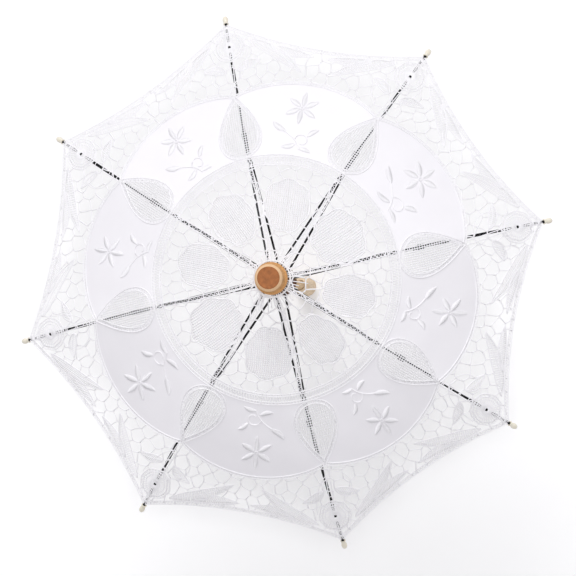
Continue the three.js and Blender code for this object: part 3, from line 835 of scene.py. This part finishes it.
def satin(start, end, width, bend=0.0, pitch=0.75):
    """A raised leaf of satin stitch, from slanting stitches side by side."""
    start, end = np.asarray(start, float), np.asarray(end, float)
    length = np.linalg.norm(end - start)
    along = (end - start) / length
    across = np.array([-along[1], along[0]])
    for s in np.arange(pitch / 2, length, pitch) / length:
        middle = start + (end - start) * s + across * bend * math.sin(math.pi * s)
        half = width / 2 * math.sin(math.pi * min(1, s ** 0.8)) ** 0.7
        slant = along * 0.35 * half
        stitch = [middle - across * half - slant, middle, middle + across * half + slant]
        embroidery.thread(stitch, *SATIN_STITCH, step=half + 0.3)


def curve(start, pull, end, s):
    """A value or point at s, from 0 to 1, on a curve from start to end that bends towards pull."""
    return (1 - s) ** 2 * start + 2 * s * (1 - s) * pull + s * s * end


def make_embroidery():
    """A six-petalled flower and a sprig on each scallop."""
    knot = np.linspace(0, 2 * math.pi, 13)
    knot = 1.3 * np.column_stack([np.cos(knot), np.sin(knot)])
    stem = curve(*np.array(STEM), np.linspace(0, 1, 12)[:, None])
    turn, reach = np.linspace(*CURL_TURN, 24), np.linspace(*CURL_RADIUS, 24)
    curl = CURL_AT + np.column_stack([reach * np.cos(turn), reach * np.sin(turn)])
    for k in range(RIBS):
        lean = rng.uniform(-0.12, 0.12)
        for n in range(FLOWER_PETALS):
            t = lean + n * 2 * math.pi / FLOWER_PETALS
            ray = np.array([math.cos(t), math.sin(t)])
            ends = from_panel(FLOWER_AT + np.outer((FLOWER_FROM, FLOWER_TO), ray), k)
            satin(*ends, FLOWER_PETAL)
        embroidery.thread(from_panel(FLOWER_AT + knot, k), *KNOT_THREAD)
        embroidery.thread(from_panel(stem, k), *STEM_THREAD, step=CURL_STEP)
        embroidery.thread(from_panel(curl, k), *CURL_THREAD, step=CURL_STEP)
        for start, end, width in SPRIG_LEAVES:
            satin(*from_panel([start, end], k), width, bend=SPRIG_BOW)


def drop_side(radius):
    """Azimuth of the teardrop's edge at each radius from the shaft; 0 beyond its point."""
    edge = DROP[:len(DROP) // 2 + 1]
    r, a = np.hypot(edge[:, 0], edge[:, 1]), np.arctan2(edge[:, 1], edge[:, 0])
    order = np.argsort(r)
    return np.interp(radius, r[order], a[order], left=0.0, right=0.0)


def make_batiste(sector, name):
    """The solid cloth on both sides of one rib: half of each scallop beside it."""
    rows, columns = 44, 34
    points, faces = [], []
    for side in BOTH:
        base = sum(len(p) for p in points)
        t = np.linspace(0, 1, rows + 1)
        edge_near_rib = SCALLOP_AT_RIB + 4
        start = drop_side(RING_OUT + (edge_near_rib - RING_OUT) * t)
        s = np.linspace(0, 1, columns + 1)
        angle = start[:, None] + (TURN / 2 - start[:, None]) * s[None, :]
        outer = scallop_radius(angle)
        radius = RING_OUT + (outer - RING_OUT) * t[:, None]
        flat = np.stack([radius * np.cos(angle), side * radius * np.sin(angle)], -1).reshape(-1, 2)
        points.append(on_cover(spin(flat, sector * TURN), BATISTE_LIFT))
        for i in range(rows):
            for j in range(columns):
                a = base + i * (columns + 1) + j
                quad = (a, a + columns + 1, a + columns + 2, a + 1)
                faces.append(quad if side > 0 else quad[::-1])
    return make_mesh(name, np.concatenate(points) * MM, faces, "batiste")


def make_cover():
    """Every thread of the cover, then one set of pieces for each rib."""
    make_net()
    make_centre()
    make_drops()
    make_outer()
    make_embroidery()
    for k in range(RIBS):
        n = k + 1
        cloth = make_batiste(k, f"batiste_{n}")
        lace = [layer.build(k, f"{word}_{n}") for layer, word in
                ((net, "net"), (fill, "motif_fill"), (tapes, "tape"), (embroidery, "embroidery"))]
        gather_on_rib(n, cloth, *lace)
        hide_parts(f"canopy_{n}")


def gather_on_rib(n, *pieces):
    """Rides on a rib, each piece with a mesh of its own."""
    for piece in pieces:
        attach(piece, f"rib_{n}")
        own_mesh(piece)


# ---- Turned wood and tips -------------------------------------------------------------------
BORE = 4.4                                   # radius of the holes that take the shaft
WAIST = 8.6                                  # radius that pulls the ferrule's side in
HANDLE_KNOTS = ((8.4, 0.8), (9.9, 7), (9, 14), (7.3, 20), (8.6, 30), (9, 42))
BEAD_NECK = ((1.2, 0.3), (2.0, 0.2))
BEAD = ((1.75, 1.7), (1.65, 2.3), (1.8, 3.0), (2.25, 3.9), (2.5, 5.0), (2.55, 6.2), (2.35, 7.6),
        (1.85, 8.8), (1.0, 9.5), (0.0, 9.75))
BEAD_INSIDE_TIP = 9.2                        # how far within the tip's radius the bead starts


def make_ferrule():
    """A waisted wooden end on a rounded collar, bored from below for the shaft."""
    base, top = FERRULE
    outline = [(BORE, top - 13.6), (BORE, base), (12.4, base)]
    outline += [*arc((12.6, base + 1), 1, -90, 0, 5), *arc((12.6, base + 4.5), 1, 0, 90, 5)]
    outline.append((11.9, base + 5.6))
    for s in np.linspace(0.04, 1, 18):
        outline.append((curve(11.8, WAIST, 11.0, s), curve(base + 7, base + 13, top - 5, s)))
    outline += [*arc((9.9, top - 3.2), 1.4, 0, 35, 4), *arc((8.8, top - 0.6), 0.6, 50, 90, 4)]
    outline += [(8.6, top), (0, top)]
    place_turned("ferrule_turned", outline, "ferrule")


def make_handle():
    """A baluster handle with a small collar, bored from above for the shaft."""
    top = HANDLE_TOP
    knots = np.array([*HANDLE_KNOTS, (7.4, top - 21), (6.3, top - 12)])
    outline = [(0, 0), (7.4, 0), *arc((7.4, 0.8), 0.9, -80, -10, 4)]
    for s in np.linspace(0, len(knots) - 1, 80):
        outline.append(through(knots, s))
    outline += [(6.6, top - 11.2), *arc((6.9, top - 9), 1.3, -60, 60, 9), (6.4, top - 6.4), (6.2, top - 5)]
    outline += [(5.7, top - 0.6), (5.3, top), (BORE, top), (BORE, top - 29)]
    place_turned("handle_turned", outline, "handle")


def through(knots, s):
    """A point on the smooth curve through knots, s counting them from 0."""
    i = min(int(s), len(knots) - 2)
    t = s - i
    p = [knots[max(0, min(len(knots) - 1, i + d))] for d in (-1, 0, 1, 2)]
    square = 2 * p[0] - 5 * p[1] + 4 * p[2] - p[3]
    cube = 3 * p[1] - p[0] - 3 * p[2] + p[3]
    return 0.5 * (2 * p[1] + (p[2] - p[0]) * t + square * t * t + cube * t ** 3)


def place_turned(name, outline, part):
    """A turned wooden piece that rides on the shaft in place of the CAD part."""
    points, faces = turned(outline, 96)
    piece = make_mesh(name, points * MM, faces, part)
    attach(piece, "shaft")
    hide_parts(part)


def make_tips():
    """Cream beads with a neck, one on the end of each rib."""
    profile = [*BEAD_NECK, *arc((2.0, 0.7), 0.42, -80, 80, 5), *BEAD]
    points, faces = turned(profile, 40)
    start = TIP_RADIUS - BEAD_INSIDE_TIP
    slope = math.asin(math.sin(ROOT_SLOPE) + (start - PIVOT_RADIUS) / RIB_ARC)
    tilt = Matrix.Rotation(math.pi / 2 + slope, 3, "Y")
    root = Vector((start, 0, float(rib_height(start))))
    for k in range(RIBS):
        place = Matrix.Rotation(k * TURN, 3, "Z")
        moved = [place @ (tilt @ Vector(p) + root) * MM for p in points]
        tip = make_mesh(f"tip_bead_{k + 1}", moved, faces, "cream")
        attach(tip, f"rib_{k + 1}")
        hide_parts(f"rib_tip_{k + 1}")


# ---- Floor and light ------------------------------------------------------------------------
def make_stage():
    """A pale floor under the object, outside the part."""
    corners = [(x * FLOOR_SIZE, y * FLOOR_SIZE, FLOOR) for x, y in ((-1, -1), (1, -1), (1, 1), (-1, 1))]
    floor = make_mesh("floor", corners, [(0, 1, 2, 3)], "batiste")
    material, shader = new_material("pale_floor", (0.96, 0.96, 0.965), 0.85)[:2]
    shader.inputs["Emission Color"].default_value = (1, 1, 1, 1)
    shader.inputs["Emission Strength"].default_value = FLOOR_GLOW
    floor.data.materials[0] = material


def area_light(name, place, size, power):
    """A square lamp that points at the middle of the canopy."""
    data = bpy.data.lights.new(name, "AREA")
    data.size = size
    data.energy = power
    light = bpy.data.objects.new(name, data)
    bpy.context.collection.objects.link(light)
    light.location = place
    light.rotation_mode = "QUATERNION"
    light.rotation_quaternion = (CANOPY_MIDDLE - place).to_track_quat("-Z", "Y")


def make_light():
    """A soft box nearly overhead, a lower one from behind the picture's top edge, and a pale room."""
    up = Vector((math.cos(UP_AZIMUTH), math.sin(UP_AZIMUTH), 0))
    camera = bpy.context.scene.camera.matrix_world.translation
    area_light("overhead", camera * OVERHEAD_REACH, OVERHEAD_SIZE, OVERHEAD_POWER)
    behind = Matrix.Rotation(SIDE_TURN, 3, "Z") @ up
    area_light("side", behind * SIDE_AWAY + Vector((0, 0, SIDE_HIGH)), SIDE_SIZE, SIDE_POWER)
    world = bpy.data.worlds.new("studio")
    world.use_nodes = True
    background = world.node_tree.nodes["Background"]
    background.inputs["Color"].default_value = ROOM_COLOR
    background.inputs["Strength"].default_value = ROOM_GLOW
    bpy.context.scene.world = world
    bpy.context.scene.view_settings.view_transform = "Standard"


make_camera()
dress_frame()
make_cover()
make_ferrule()
make_handle()
make_tips()
make_stage()
make_light()
